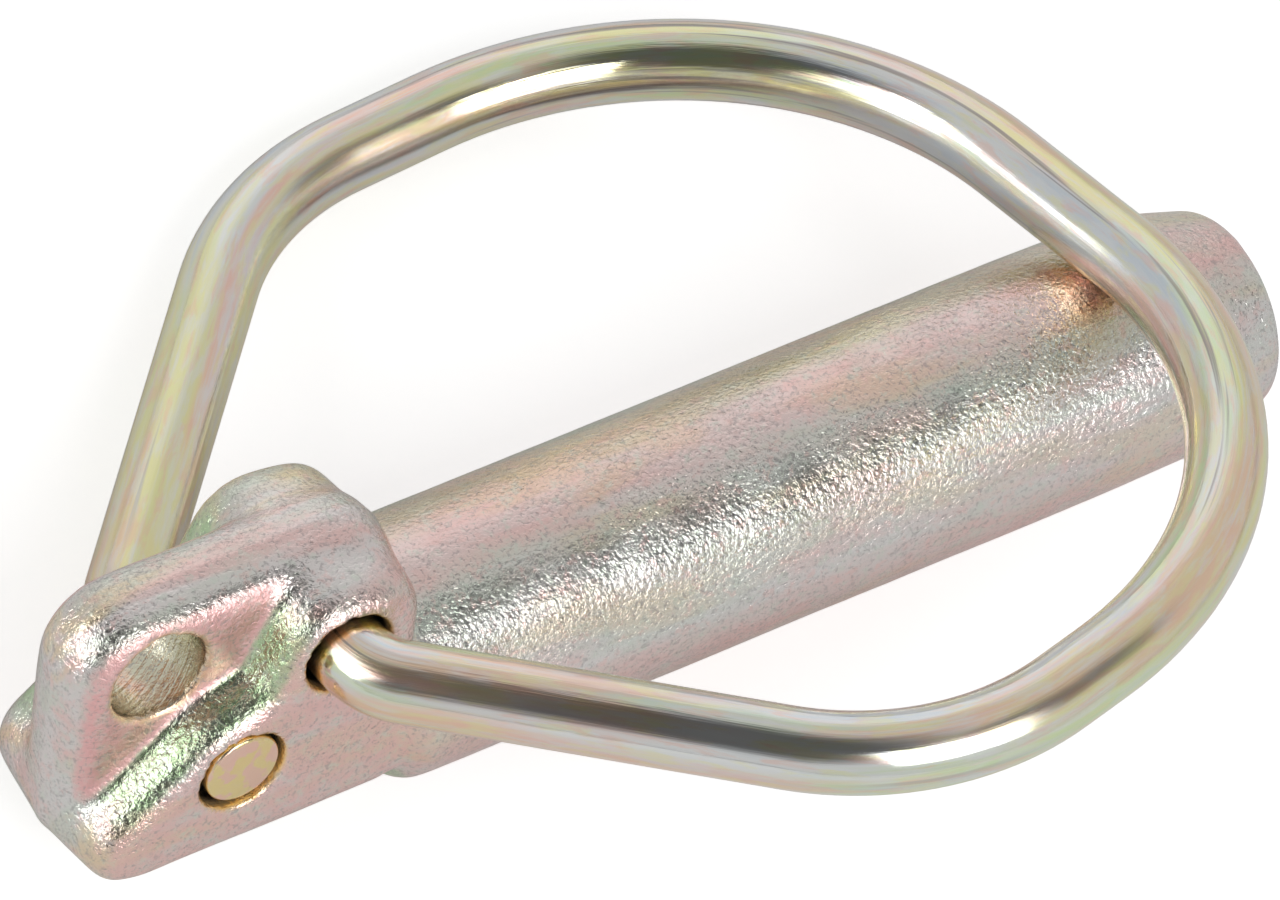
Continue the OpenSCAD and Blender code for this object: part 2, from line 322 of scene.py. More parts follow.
class Nodes:
    """Adds nodes to a tree and wires them, left to right."""

    def __init__(self, tree):
        self.tree = tree
        self.column = 0

    def add(self, kind, inputs=None, **settings):
        """A new node with its settings, and a link or a value for each input that is given."""
        node = self.tree.nodes.new(kind)
        node.location = (self.column * COLUMN_WIDTH, 0)
        self.column += 1
        for key, value in settings.items():
            setattr(node, key, value)
        for key, value in (inputs or {}).items():
            socket = node.inputs[key]
            if isinstance(value, bpy.types.NodeSocket):
                self.tree.links.new(value, socket)
            elif socket.type == "RGBA":
                socket.default_value = (*value, 1.0)
            else:
                socket.default_value = value
        return node

    def math(self, operation, a, b=0.5, clamp=False):
        return self.add("ShaderNodeMath", {0: a, 1: b}, operation=operation, use_clamp=clamp).outputs[0]

    def plus(self, a, b):
        return self.math("ADD", a, b)

    def minus(self, a, b):
        return self.math("SUBTRACT", a, b)

    def times(self, a, b, clamp=False):
        return self.math("MULTIPLY", a, b, clamp)

    def ranged(self, value, low, high, to_low=0.0, to_high=1.0):
        return self.add(
            "ShaderNodeMapRange",
            {"Value": value, "From Min": low, "From Max": high, "To Min": to_low, "To Max": to_high},
            interpolation_type="SMOOTHSTEP").outputs["Result"]

    def mixed(self, factor, a, b):
        return self.add("ShaderNodeMix", {0: factor, 6: a, 7: b}, data_type="RGBA").outputs[2]

    def mixed_value(self, factor, a, b):
        return self.add("ShaderNodeMix", {0: factor, 2: a, 3: b}, data_type="FLOAT").outputs[0]

    def vector(self, operation, a, b, output=0):
        return self.add("ShaderNodeVectorMath", {0: a, 1: b}, operation=operation).outputs[output]

    def squeezed(self, vector, squeeze):
        """Places squeezed along X, so that a pattern on them is drawn out along X."""
        return self.add("ShaderNodeMapping", {"Vector": vector, "Scale": (squeeze, 1.0, 1.0)}).outputs[0]

    def noise(self, vector, scale, detail=2.0, roughness=0.5, distortion=0.0):
        return self.add("ShaderNodeTexNoise", {
            "Vector": vector, "Scale": scale, "Detail": detail, "Roughness": roughness,
            "Distortion": distortion}).outputs["Fac"]

    def group(self, tree, inputs):
        """A copy of a group in this tree, with its own values; its first output."""
        return self.add("ShaderNodeGroup", inputs, node_tree=tree).outputs[0]


def new_group(name, inputs, outputs):
    """An empty shader node group with those named sockets, and its Nodes, input node and output node."""
    tree = bpy.data.node_groups.new(name, "ShaderNodeTree")
    for socket_name, kind, default in inputs:
        socket = tree.interface.new_socket(name=socket_name, in_out="INPUT", socket_type=kind)
        if default is not None:
            socket.default_value = (*default, 1.0) if kind == "NodeSocketColor" else default
    for socket_name, kind in outputs:
        tree.interface.new_socket(name=socket_name, in_out="OUTPUT", socket_type=kind)
    nodes = Nodes(tree)
    return tree, nodes, nodes.add("NodeGroupInput").outputs, tree.nodes.new("NodeGroupOutput")


def passivation_group():
    """Drifting interference colours of a thin passivation film: three tints over the first colour."""
    name = "Passivation film"
    if name in bpy.data.node_groups:
        return bpy.data.node_groups[name]
    tree, nodes, given, out = new_group(
        name,
        [("Vector", "NodeSocketVector", None), ("Scale", "NodeSocketFloat", 200.0),
         ("Silver", "NodeSocketColor", (0.7, 0.7, 0.7)), ("First", "NodeSocketColor", (0.7, 0.5, 0.5)),
         ("Second", "NodeSocketColor", (0.6, 0.7, 0.5)), ("Third", "NodeSocketColor", (0.7, 0.65, 0.4)),
         ("Strength", "NodeSocketFloat", 1.0)],
        [("Color", "NodeSocketColor")])
    colour_out = given["Silver"]
    for offset, tint, low, high in (
            ((0.0, 0.0, 0.0), "First", 0.44, 0.62),
            ((0.031, 0.017, 0.053), "Second", 0.47, 0.64),
            ((0.071, 0.043, 0.019), "Third", 0.50, 0.66)):
        place = nodes.vector("ADD", given["Vector"], offset)
        patch = nodes.noise(place, given["Scale"], detail=3.5, roughness=0.58, distortion=0.35)
        cover = nodes.times(nodes.ranged(patch, low, high), given["Strength"], clamp=True)
        colour_out = nodes.mixed(cover, colour_out, given[tint])
    tree.links.new(colour_out, out.inputs["Color"])
    return tree


def specks_group():
    """Sparse small specks, such as nicks, pits and dust, with a ragged outline."""
    name = "Specks"
    if name in bpy.data.node_groups:
        return bpy.data.node_groups[name]
    tree, nodes, given, out = new_group(
        name,
        [("Vector", "NodeSocketVector", None), ("Scale", "NodeSocketFloat", 600.0),
         ("Amount", "NodeSocketFloat", 0.1), ("Size", "NodeSocketFloat", 0.3)],
        [("Mask", "NodeSocketFloat")])
    ripple = nodes.add("ShaderNodeTexNoise", {"Vector": given["Vector"], "Scale": 2500.0, "Detail": 2.0})
    ragged = nodes.vector("MULTIPLY", ripple.outputs["Color"], (SPECK_RIPPLE, SPECK_RIPPLE, SPECK_RIPPLE))
    place = nodes.vector("ADD", given["Vector"], ragged)
    cells = nodes.add("ShaderNodeTexVoronoi", {"Vector": place, "Scale": given["Scale"]}, feature="F1")
    drawn_lot = nodes.add("ShaderNodeSeparateColor", {0: cells.outputs["Color"]}).outputs["Red"]
    picked = nodes.math("LESS_THAN", drawn_lot, given["Amount"])
    near = nodes.ranged(cells.outputs["Distance"], given["Size"], 0.0)
    tree.links.new(nodes.times(picked, near), out.inputs["Mask"])
    return tree


def new_material(name):
    material = bpy.data.materials.new(name)
    material.use_nodes = True
    material.node_tree.nodes.clear()
    return material, Nodes(material.node_tree)


def finish_material(nodes, base_color, roughness, normal, metallic=1.0):
    shader = nodes.add("ShaderNodeBsdfPrincipled", {
        "Base Color": base_color, "Roughness": roughness, "Normal": normal, "Metallic": metallic})
    output = nodes.add("ShaderNodeOutputMaterial")
    nodes.tree.links.new(shader.outputs["BSDF"], output.inputs["Surface"])


# ---- Forged pin ----

MASKS = ("edge", "hollow", "hole_rim", "flank", "web", "step", "bore", "around")


def shank_reflection_bands(nodes, around, sizes):
    """Painted reflection: the film's tints laid out by the way round the pin, from its far side, over the top, to
    its near side, as bands of reflected light along the shank.
    """
    bands = nodes.add("ShaderNodeValToRGB", {"Fac": around})
    stops = (
        (0.0, sizes.pink), (0.12, sizes.green), (0.18, sizes.yellow), (0.27, sizes.yellow),
        (0.35, sizes.pink), (0.48, sizes.pink), (0.56, sizes.pale_green), (0.68, sizes.silver),
        (0.86, sizes.silver), (1.0, sizes.pink))
    ramp = bands.color_ramp
    while len(ramp.elements) < len(stops):
        ramp.elements.new(0.5)
    for element, (position, tint) in zip(ramp.elements, stops):
        element.position, element.color = position, (*tint, 1.0)
    return bands.outputs["Color"]


def forging_tints(nodes, place, masks, sizes):
    """The film over the forging: drifting tints, each stronger in its own place, and painted reflection bands
    round the shank.
    """
    drawn_out = nodes.squeezed(place, 0.22)
    film = nodes.group(passivation_group(), {
        "Vector": drawn_out, "Scale": 420.0, "Silver": sizes.silver, "First": sizes.pink,
        "Second": sizes.pale_green, "Third": sizes.yellow, "Strength": 0.75})
    wander = nodes.minus(nodes.noise(drawn_out, scale=500.0, detail=3.0), 0.5)
    # Painted reflection: these tint bands follow the way the shank's surface faces, and are laid on more strongly
    # on the shank than on the head.
    bands = shank_reflection_bands(nodes, nodes.plus(masks["around"], nodes.times(wander, 0.22)), sizes)
    along_pin = nodes.add("ShaderNodeSeparateXYZ", {0: place}).outputs["X"]
    tint = nodes.mixed(nodes.ranged(along_pin, -0.6 * MM, 0.4 * MM, 0.1, 0.5), film, bands)

    mottle = nodes.noise(place, scale=1700.0, detail=3.0, roughness=0.65)
    flush = nodes.times(masks["flank"], nodes.ranged(mottle, 0.35, 0.6, 0.55, 1.0), clamp=True)
    tint = nodes.mixed(nodes.times(flush, 0.9), tint, sizes.pink)
    tint = nodes.mixed(nodes.ranged(mottle, 0.53, 0.68, 0.0, 0.4), tint, sizes.pink)
    tint = nodes.mixed(nodes.ranged(mottle, 0.47, 0.30, 0.0, 0.5), tint, sizes.pale_green)
    sheltered = nodes.times(masks["web"], nodes.ranged(mottle, 0.35, 0.6, 0.45, 0.85))
    tint = nodes.mixed(sheltered, tint, sizes.rose)
    tint = nodes.mixed(nodes.times(masks["edge"], 0.85, clamp=True), tint, sizes.silver)
    wall = nodes.math("MAXIMUM", masks["step"], nodes.times(masks["hollow"], 0.15))
    wall = nodes.times(wall, nodes.ranged(mottle, 0.38, 0.6, 1.0, 0.65), clamp=True)
    tint = nodes.mixed(wall, tint, sizes.green)
    bore_patches = nodes.ranged(nodes.noise(place, scale=330.0), 0.45, 0.6)
    bore_tint = nodes.mixed(bore_patches, sizes.pale_green, sizes.rose)
    tint = nodes.mixed(nodes.times(masks["bore"], 0.9), tint, bore_tint)
    return nodes.mixed(masks["hole_rim"], tint, sizes.amber)


def forging_grain(nodes, place, crystals, masks, sizes):
    """The height of the skin: crystalline facets and a few pits, and drill marks in the chain hole."""
    facets = nodes.add(
        "ShaderNodeTexVoronoi", {"Vector": place, "Scale": 1.0 / sizes.grain}, feature="SMOOTH_F1")
    facets.inputs["Smoothness"].default_value = 0.5
    patches = nodes.ranged(nodes.noise(place, scale=300.0), 0.36, 0.60, 0.6, 1.1)
    worn = nodes.ranged(nodes.math("MAXIMUM", masks["edge"], masks["flank"]), 0.0, 1.0, 1.0, 0.9)
    grain = nodes.plus(nodes.times(facets.outputs["Distance"], 0.35), crystals)
    grain = nodes.times(nodes.times(grain, patches), worn)
    pits = nodes.group(specks_group(), {"Vector": place, "Scale": 420.0, "Amount": 0.05, "Size": 0.16})
    height = nodes.minus(grain, nodes.times(pits, 0.8))
    along_bore = hinge_axis + Vector((DRILL_SKEW, 0, 0))
    depth = nodes.vector("DOT_PRODUCT", place, tuple(along_bore), "Value")
    marks = nodes.add(
        "ShaderNodeTexNoise", {"W": depth, "Scale": 5200.0, "Detail": 2.0}, noise_dimensions="1D")
    drilled = nodes.plus(nodes.times(marks.outputs["Fac"], 0.4), nodes.times(crystals, 0.6))
    return nodes.mixed_value(masks["bore"], height, drilled)


def forging_material(sizes):
    """Grainy zinc-plated forging: pink flanks, green step, silver edges, amber hole rims, painted shade in the
    grain's dips and painted reflection bands round the shank.
    """
    material, nodes = new_material("Plated forging")
    place = nodes.add("ShaderNodeTexCoord").outputs["Object"]
    masks = {name: nodes.add("ShaderNodeAttribute", attribute_name=name).outputs["Fac"] for name in MASKS}
    crystals = nodes.noise(place, scale=1.1 / sizes.grain, detail=2.5, roughness=0.62, distortion=0.6)
    tint = forging_tints(nodes, place, masks, sizes)
    # Painted shade: the tint turns towards the Shade colour in the dips of the grain.
    base = nodes.mixed(nodes.ranged(crystals, 0.48, 0.32, 0.0, 0.5), tint, sizes.shade)
    height = forging_grain(nodes, place, crystals, masks, sizes)
    bump = nodes.add("ShaderNodeBump", {"Height": height, "Distance": sizes.grain_depth, "Strength": 1.0})
    roughness = nodes.ranged(
        nodes.noise(place, scale=700.0), 0.3, 0.7, sizes.roughness - 0.05, sizes.roughness + 0.1)
    roughness = nodes.plus(roughness, nodes.times(masks["web"], 0.22))
    # Thick passivation hides the metal's gloss in the mouths of the wire holes.
    metal = nodes.ranged(masks["hole_rim"], 0.1, 1.0, 1.0, 0.65)
    finish_material(nodes, base, roughness, bump.outputs["Normal"], metal)
    return material


def neighbour_average(edges, total, values):
    summed = np.zeros((total, values.shape[1]))
    np.add.at(summed, edges[:, 0], values[edges[:, 1]])
    np.add.at(summed, edges[:, 1], values[edges[:, 0]])
    degree = np.bincount(edges.ravel(), minlength=total)[:, None]
    return summed / np.maximum(degree, 1)


def edge_pairs(obj):
    pairs = np.empty(len(obj.data.edges) * 2, np.int32)
    obj.data.edges.foreach_get("vertices", pairs)
    return pairs.reshape(-1, 2)


def from_the_holes(places, sizes):
    """How far each point, in the pin's frame, is from the walls of the wire holes and of the chain hole."""
    hinge = in_pin_frame(np.array(hinge_point)[None])[0][[0, 2]]
    chain_point, chain_radius = chain_hole_place()
    chain = in_pin_frame(np.array(chain_point)[None])[0][[0, 2]]
    apart = sizes.hole_spacing / 2 * math.sqrt(0.5)
    side_on = places[:, [0, 2]]
    from_front = np.linalg.norm(side_on - (hinge + apart), axis=1)
    from_rear = np.linalg.norm(side_on - (hinge - apart), axis=1)
    from_chain = np.linalg.norm(side_on - chain, axis=1)
    return np.minimum(from_front, from_rear) - sizes.hole_radius, from_chain - chain_radius


def forged_skin(sizes):
    """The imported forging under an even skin, with the die's corners blended into each other in the head."""
    clear_selection()
    piece = bpy.data.objects.new("pin_forging", frame["nodes"]["forged_pin"].data.copy())
    bpy.context.scene.collection.objects.link(piece)
    piece.data.materials.clear()
    make_active(piece)
    bpy.ops.object.mode_set(mode="EDIT")
    bpy.ops.mesh.select_all(action="SELECT")
    bpy.ops.mesh.remove_doubles(threshold=0.002 * MM)
    bpy.ops.object.mode_set(mode="OBJECT")
    apply_modifier(piece, "REMESH", "Skin", mode="VOXEL", voxel_size=sizes.skin)

    # The blending is weaker around the holes, and the shank only loses the mesh's steps.
    places = in_pin_frame(points_of(piece))
    from_rim = np.minimum(*from_the_holes(places, sizes))
    in_head = 1 - smoothstep(-0.3 * MM, 1.2 * MM, places[:, 0])
    guarded = in_head * (0.2 + 0.8 * smoothstep(0.15 * MM, sizes.hole_guard, from_rim))
    head = piece.vertex_groups.new(name="head")
    for index, weight in enumerate(guarded):
        if weight > 0:
            head.add([index], float(weight), "REPLACE")
    apply_modifier(
        piece, "SMOOTH", "Die radii", factor=0.5, iterations=sizes.blend_passes, vertex_group="head")
    apply_modifier(piece, "SMOOTH", "Shank skin", factor=0.5, iterations=sizes.shank_passes)
    piece.vertex_groups.clear()
    return piece


def bulge_of(piece, points, normals, skin):
    """How much the skin bulges at each point, read over about half a millimetre; hollows are negative."""
    pairs = edge_pairs(piece)
    bulge = ((points - neighbour_average(pairs, len(points), points)) * normals).sum(1)[:, None] / skin
    for _ in range(BULGE_PASSES):
        bulge = neighbour_average(pairs, len(points), bulge)
    return bulge[:, 0]


def raise_flash(piece, points, normals, places, facing, from_rim, sizes):
    """Trimmed flash along the parting line, faint on the shank."""
    across = np.exp(-(places[:, 1] / sizes.flash_width) ** 2)
    outward = 1 - smoothstep(0.35, 0.7, np.abs(facing[:, 1]))
    clear_of_holes = smoothstep(0.3 * MM, 0.8 * MM, from_rim)
    along_pin = 0.25 + 0.75 * (1 - smoothstep(-1 * MM, 2 * MM, places[:, 0]))
    flash = sizes.flash_height * across * outward * clear_of_holes * along_pin
    move_points(piece, points + normals * flash[:, None])


def swell_skin(piece, sizes):
    swells = bpy.data.textures.new("Forged swells", "CLOUDS")
    swells.noise_scale = sizes.swell
    swells.noise_depth = 2
    apply_modifier(
        piece, "DISPLACE", "Forged swells", texture=swells, texture_coords="LOCAL",
        direction="NORMAL", strength=sizes.unevenness, mid_level=0.5)


def write_forging_masks(piece, points, places, facing, bulge, sizes):
    """Where each tint of the film and each kind of wear lies."""
    from_wire_hole, from_chain_hole = from_the_holes(places, sizes)
    in_head = 1 - smoothstep(-0.6 * MM, 0.2 * MM, places[:, 0])
    sideways, off_centre = np.abs(facing[:, 1]), np.abs(places[:, 1])
    on_cheek = smoothstep(sizes.lug_half, sizes.cheek_half - 0.5 * MM, off_centre)

    rim = 1 - smoothstep(0.0, sizes.rim_tint, from_wire_hole)
    rim *= smoothstep(sizes.cheek_half - sizes.rim_depth, sizes.cheek_half - 0.1 * MM, off_centre)
    chain_line = np.exp(-((from_chain_hole - 0.1 * MM) / (0.12 * MM)) ** 2)
    write_mask(piece, "hole_rim", np.maximum(rim, 0.45 * chain_line))
    write_mask(piece, "edge", smoothstep(0.03, 0.12, bulge))
    write_mask(piece, "hollow", smoothstep(0.03, 0.12, -bulge))
    write_mask(piece, "flank", in_head * smoothstep(0.55, 0.85, sideways) * (1 - 0.15 * on_cheek))

    clear_of_bore = smoothstep(0.0, 0.25 * MM, from_chain_hole)
    write_mask(piece, "web", in_head * smoothstep(0.5, 0.9, sideways) * (1 - on_cheek) * clear_of_bore)

    # The wall that steps up from the lug to the cheeks, without the head's own outline.
    above_lug = smoothstep(sizes.lug_half - 0.3 * MM, sizes.lug_half + 0.3 * MM, off_centre)
    below_cheek = 1 - smoothstep(sizes.cheek_half - 0.5 * MM, sizes.cheek_half - 0.1 * MM, off_centre)
    from_outline = np.minimum(places[:, 2].max() - places[:, 2], places[:, 0] - places[:, 0].min())
    inside = smoothstep(0.6 * MM, 1.8 * MM, from_outline) * (1 - smoothstep(-0.2, 0.3, facing[:, 0]))
    upright = 1 - smoothstep(0.65, 0.9, sideways)
    clear_of_holes = smoothstep(0.3 * MM, 0.8 * MM, np.minimum(from_wire_hole, from_chain_hole))
    write_mask(piece, "step", in_head * above_lug * below_cheek * inside * upright * clear_of_holes)

    in_bore = 1 - smoothstep(-0.02 * MM, 0.12 * MM, from_chain_hole)
    write_mask(piece, "bore", in_bore * (1 - smoothstep(0.3, 0.6, sideways)))
    # The way round the pin's axis, in half turns from level on the far side; it lays out the painted reflection
    # bands.
    write_mask(piece, "around", np.mod(np.arctan2(points[:, 2], points[:, 1]) / math.pi, 2.0))


def build_forging(sizes):
    piece = forged_skin(sizes)
    points, normals = points_of(piece), normals_of(piece)
    places, facing = in_pin_frame(points), in_pin_frame(normals)
    bulge = bulge_of(piece, points, normals, sizes.skin)
    from_rim = np.minimum(*from_the_holes(places, sizes))
    raise_flash(piece, points, normals, places, facing, from_rim, sizes)
    swell_skin(piece, sizes)
    write_forging_masks(piece, points, places, facing, bulge, sizes)

    piece.data.materials.append(forging_material(sizes))
    make_active(piece)
    bpy.ops.object.shade_smooth()
    clear_selection()
    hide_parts("forged_pin")
    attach(piece, "pin")


# ---- Spring ring ----

def ring_route(sizes):
    """The wire's corners and the radius at each, in the pin's own frame."""
    bow_ride = (sizes.shank_radius + sizes.wire / 2 + sizes.bow_gap) / math.cos(sizes.bow_lean)
    bend_mid = hinge_point.x + sizes.leg_run
    turn_c, turn_s = math.cos(sizes.bow_turn), math.sin(sizes.bow_turn)
    bow_depth = (sizes.crossing - bend_mid) * turn_c + sizes.ring_shift * turn_s

    def on_bow(x, y):
        rise = math.tan(sizes.bow_pitch) * (x - sizes.crossing) - math.tan(sizes.bow_lean) * y
        return Vector((x, y, bow_ride + rise))

    def on_ring(x, y):
        return on_bow(bend_mid + x * turn_c - y * turn_s, x * turn_s + y * turn_c - sizes.ring_shift)

    front = (sizes.front_end_x, sizes.front_end_up)
    rear = (sizes.rear_end_x, sizes.rear_end_up)
    corners = [
        Vector((front[0], sizes.end_reach, front[1])),
        Vector((front[0], -sizes.front_turn, front[1])),
        on_ring(0, -sizes.bend_half),
        on_ring(bow_depth, -sizes.bow_half),
        on_ring(bow_depth, sizes.bow_half),
        on_ring(0, sizes.bend_half),
        Vector((rear[0], sizes.rear_turn, rear[1])),
        Vector((rear[0], -sizes.end_reach, rear[1]))]
    radii = [0, sizes.turn_radius, sizes.bend_radius, sizes.bow_radius,
             sizes.bow_radius, sizes.bend_radius, sizes.turn_radius, 0]
    return corners, radii


def ring_runs(sizes):
    """The wire from end to end, in the row frame.

    A run is ("run", from, to) and a bend is ("bend", centre, axis, angle, from, to).
    """
    corners, radii = ring_route(sizes)
    corners = [from_pin_frame @ c for c in corners]
    runs, here = [], corners[0]
    for i in range(1, len(corners)):
        before = (corners[i] - corners[i - 1]).normalized()
        if i == len(corners) - 1:
            runs.append(("run", here, corners[i]))
            break
        after = (corners[i + 1] - corners[i]).normalized()
        turned = before.angle(after)
        back = radii[i] * math.tan(turned / 2)
        start, end = corners[i] - before * back, corners[i] + after * back
        centre = corners[i] + (after - before).normalized() * radii[i] / math.cos(turned / 2)
        runs.append(("run", here, start))
        runs.append(("bend", centre, before.cross(after).normalized(), turned, start, end))
        here = end
    return runs


def centre_line(runs):
    """Closely spaced points on the wire's middle, with the distance along it at each."""
    points = []
    for run in runs:
        if run[0] == "run":
            steps = max(2, round((run[2] - run[1]).length / (0.2 * MM)))
            points += [run[1].lerp(run[2], k / steps) for k in range(steps)]
        else:
            _, centre, axis, turned, start, _ = run
            steps = max(2, round(turned / math.radians(0.6)))
            turns = [Matrix.Rotation(turned * k / steps, 3, axis) for k in range(steps)]
            points += [centre + turn @ (start - centre) for turn in turns]
    points.append(runs[-1][2])
    points = np.array(points)
    return points, np.concatenate([[0], np.cumsum(np.linalg.norm(np.diff(points, axis=0), axis=1))])


def unrolled(points, line, travelled):
    """Each point as if the wire were straight: distance along it, then its place across the wire."""
    tangents = np.gradient(line, axis=0)
    tangents /= np.linalg.norm(tangents, axis=1)[:, None]
    side = np.empty_like(line)
    side[0] = np.cross(tangents[0], [0.0, 0.0, 1.0])
    for k in range(1, len(line)):
        side[k] = side[k - 1] - tangents[k] * (side[k - 1] @ tangents[k])
        side[k] /= np.linalg.norm(side[k])
    over = np.cross(tangents, side)
    nearest = np.array([np.argmin(((line - p) ** 2).sum(1)) for p in points])
    away = points - line[nearest]
    return np.stack([
        travelled[nearest] + (away * tangents[nearest]).sum(1),
        (away * side[nearest]).sum(1),
        (away * over[nearest]).sum(1)], axis=1)


def wire_tints(nodes, place, wire_length, sizes):
    """The tint of the wire, streaked with yellow, pink, green and blue grey, and that of its cut ends."""
    streaky = nodes.squeezed(place, STREAK)
    tint = nodes.group(passivation_group(), {
        "Vector": streaky, "Scale": 640.0, "Silver": sizes.silver, "First": sizes.pink,
        "Second": sizes.green, "Third": sizes.blue, "Strength": 0.9})
    travelled = nodes.add("ShaderNodeSeparateXYZ", {0: place}).outputs["X"]
    rear_leg = nodes.ranged(travelled, 0.78 * wire_length, 0.94 * wire_length, 0.0, 0.2)
    yellow = nodes.plus(nodes.noise(streaky, scale=700.0, detail=3.0), rear_leg)
    tint = nodes.mixed(nodes.ranged(yellow, 0.47, 0.62, 0.0, 0.85), tint, sizes.yellow)
    front_leg = nodes.ranged(travelled, 0.30 * wire_length, 0.14 * wire_length, 0.0, 0.09)
    blush = nodes.plus(nodes.noise(streaky, scale=620.0), front_leg)
    tint = nodes.mixed(nodes.ranged(blush, 0.54, 0.66, 0.0, 0.65), tint, sizes.pink)
    tint = nodes.group(passivation_group(), {
        "Vector": nodes.squeezed(place, 0.2), "Scale": 2300.0, "Silver": tint, "First": sizes.silver,
        "Second": sizes.yellow, "Third": sizes.pink, "Strength": 0.45})
    end_patches = nodes.ranged(nodes.noise(place, scale=1100.0, detail=3.0), 0.46, 0.54)
    return tint, nodes.mixed(end_patches, sizes.amber, sizes.pink)


def ring_material(sizes, wire_length):
    """Drawn wire under zinc: streaks and fine lines along it, scuffs, nicks and saw-cut ends."""
    material, nodes = new_material("Plated spring wire")
    place = nodes.add("ShaderNodeAttribute", attribute_name="unrolled").outputs["Vector"]
    cut = nodes.add("ShaderNodeAttribute", attribute_name="cut_end").outputs["Fac"]
    base, end_tint = wire_tints(nodes, place, wire_length, sizes)

    # Drawing lines, light and dark, deeper where the wire is scuffed.
    streaky, drawn = nodes.squeezed(place, STREAK), nodes.squeezed(place, DRAWING_STREAK)
    scuffed = nodes.ranged(nodes.noise(streaky, scale=260.0), 0.42, 0.58)
    lines = nodes.noise(drawn, scale=4200.0, detail=3.0, roughness=0.65)
    base = nodes.mixed(nodes.ranged(lines, 0.5, 0.72, 0.0, 0.45), base, sizes.silver)
    dark = nodes.ranged(nodes.noise(drawn, scale=2100.0, detail=3.0, roughness=0.6), 0.57, 0.68, 0.0, 0.8)
    base = nodes.mixed(nodes.times(dark, scuffed), base, sizes.shade)
    base = nodes.mixed(nodes.times(cut, 0.85), base, end_tint)

    nicks = nodes.group(specks_group(), {
        "Vector": nodes.squeezed(place, 0.6), "Scale": 300.0, "Amount": 0.08, "Size": 0.14})
    scratches = nodes.group(specks_group(), {
        "Vector": nodes.squeezed(place, 0.12), "Scale": 900.0, "Amount": 0.12, "Size": 0.16})
    marks = nodes.math("MAXIMUM", nicks, nodes.times(scratches, 0.5))
    satin = nodes.noise(nodes.squeezed(place, 0.25), scale=2600.0)
    height = nodes.minus(nodes.plus(lines, nodes.times(satin, 0.6)), nodes.times(marks, 1.6))
    height = nodes.times(height, nodes.ranged(scuffed, 0.0, 1.0, 0.45, 1.2))
    saw_cut = nodes.noise(place, scale=5200.0, detail=3.0)
    height = nodes.mixed_value(cut, height, nodes.times(saw_cut, 1.6))
    bump = nodes.add("ShaderNodeBump", {"Height": height, "Distance": sizes.draw_depth, "Strength": 1.0})
    gloss = nodes.noise(streaky, scale=900.0, detail=3.0)
    roughness = nodes.ranged(gloss, 0.35, 0.65, sizes.roughness - 0.04, sizes.roughness + 0.12)
    roughness = nodes.plus(roughness, nodes.times(marks, 0.15))
    finish_material(nodes, base, roughness, bump.outputs["Normal"])
    return material


def selected_middle(obj):
    """The middle of the selected vertices, which are the last ring that was drawn out."""
    bpy.ops.object.mode_set(mode="OBJECT")
    chosen = [v.co for v in obj.data.vertices if v.select]
    bpy.ops.object.mode_set(mode="EDIT")
    return sum(chosen, Vector()) / len(chosen)


